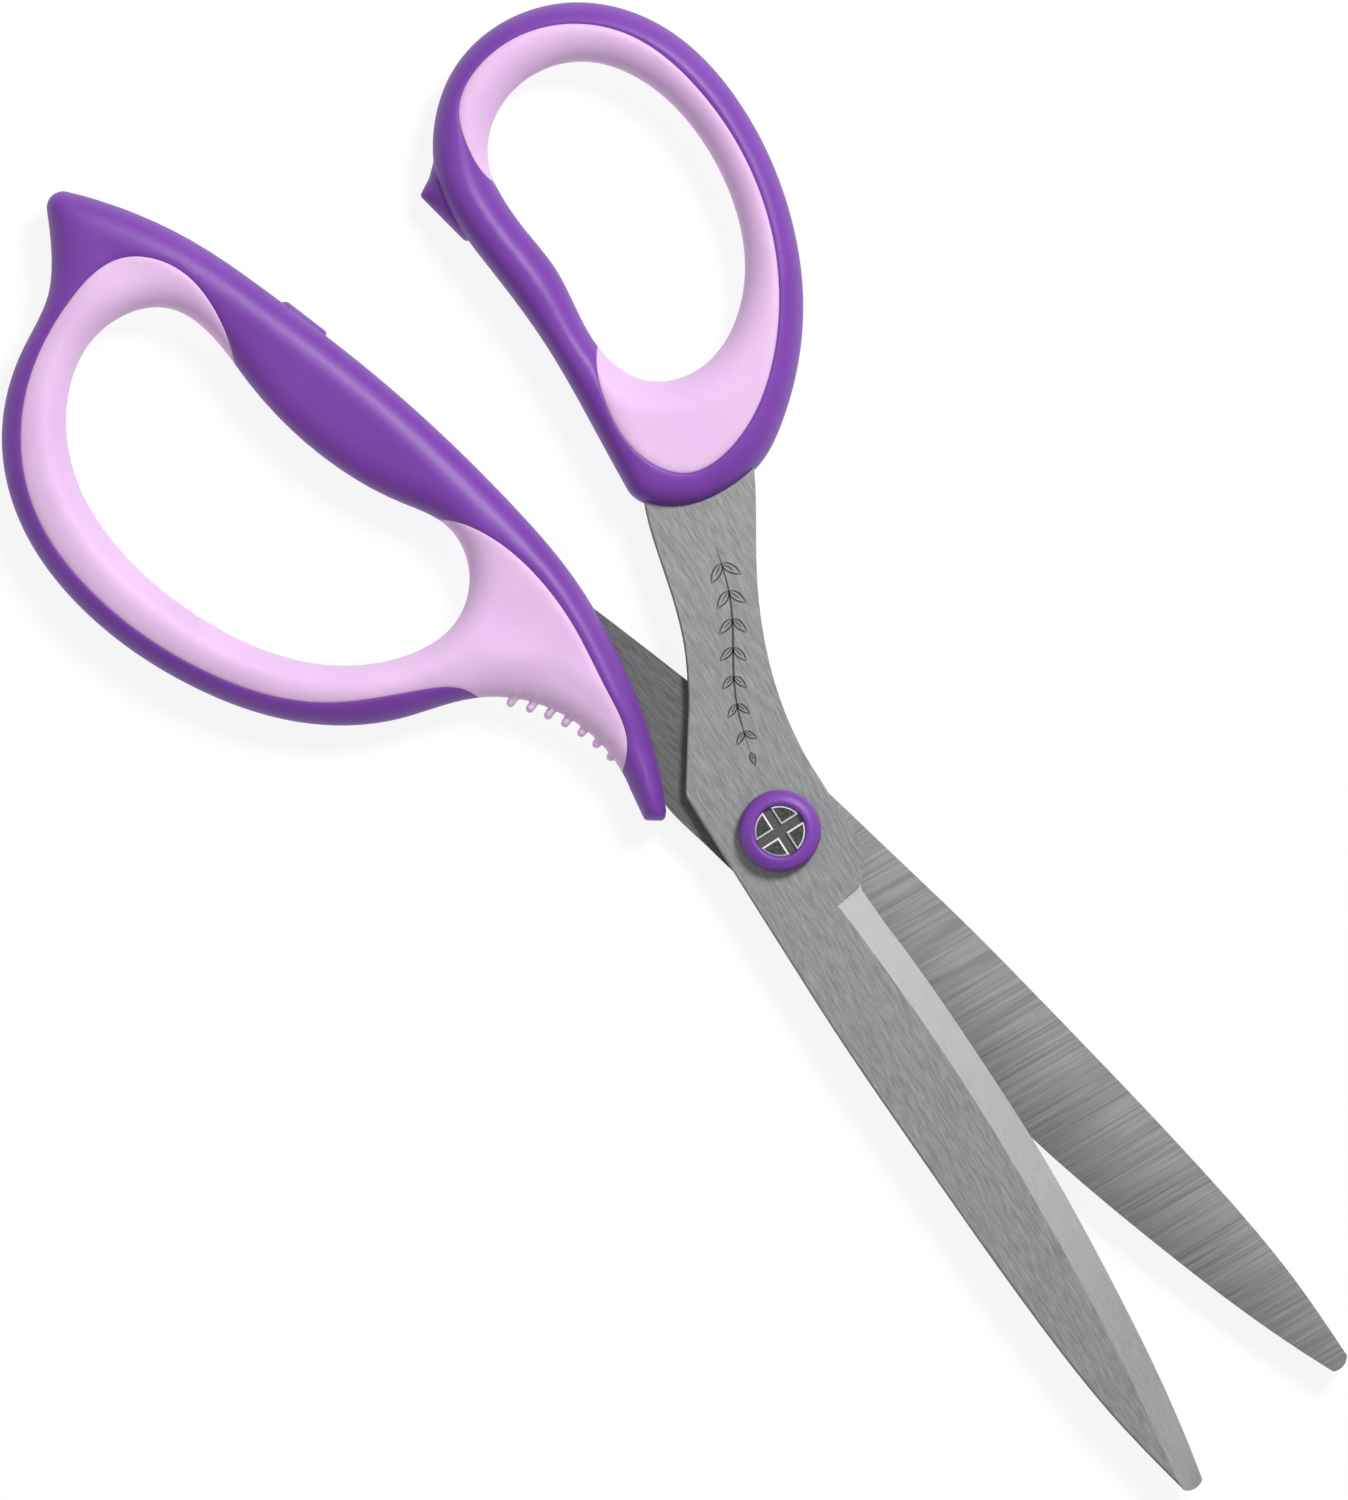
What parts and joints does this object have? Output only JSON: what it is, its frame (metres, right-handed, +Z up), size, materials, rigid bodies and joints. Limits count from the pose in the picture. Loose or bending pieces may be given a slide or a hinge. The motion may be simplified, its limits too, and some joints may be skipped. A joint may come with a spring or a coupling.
{
  "type": "scissors",
  "caption": "Long straight-bladed craft scissors with soft-lined finger and thumb loops, a ribbed forefinger rest and a slotted pivot screw in a round collar.",
  "frame": {"origin": "on the pivot axis, at the middle of the pivot nut's flat underside, level with the surface that the scissors lie on", "axes": "+X towards the blade tips along the finger blade's centre line, +Z up out of the surface along the pivot axis, towards the screw's head"},
  "size_m": [0.2544, 0.1208, 0.011],
  "materials": {
    "blade_steel": "fine lengthwise brushing, cross-ground bevels",
    "pivot_steel": "turned, slightly darkened",
    "hard_plastic": "semi-gloss moulded",
    "soft_grip": "soft satin overmould"
  },
  "bodies": {
    "finger_half": {"finger_blade": "blade_steel", "finger_handle": "hard_plastic", "finger_grip": "soft_grip", "pivot_nut": "pivot_steel", "rear_collar": "hard_plastic", "pivot_collar": "hard_plastic"},
    "thumb_half": {"thumb_blade": "blade_steel", "thumb_handle": "hard_plastic", "thumb_grip": "soft_grip"},
    "tension_screw": {"pivot_screw": "pivot_steel"}
  },
  "joints": [
    {"name": "blade_pivot", "type": "hinge", "parent": "finger_half", "child": "thumb_half", "pos_m": [0, 0, 0.0055], "axis": [0, 0, -1], "range_deg": [-13.5, 60]},
    {"name": "tension_adjust", "type": "hinge", "parent": "finger_half", "child": "tension_screw", "pos_m": [0, 0, 0.0096], "axis": [0, 0, -1], "range_deg": [-90, 90]}
  ]
}
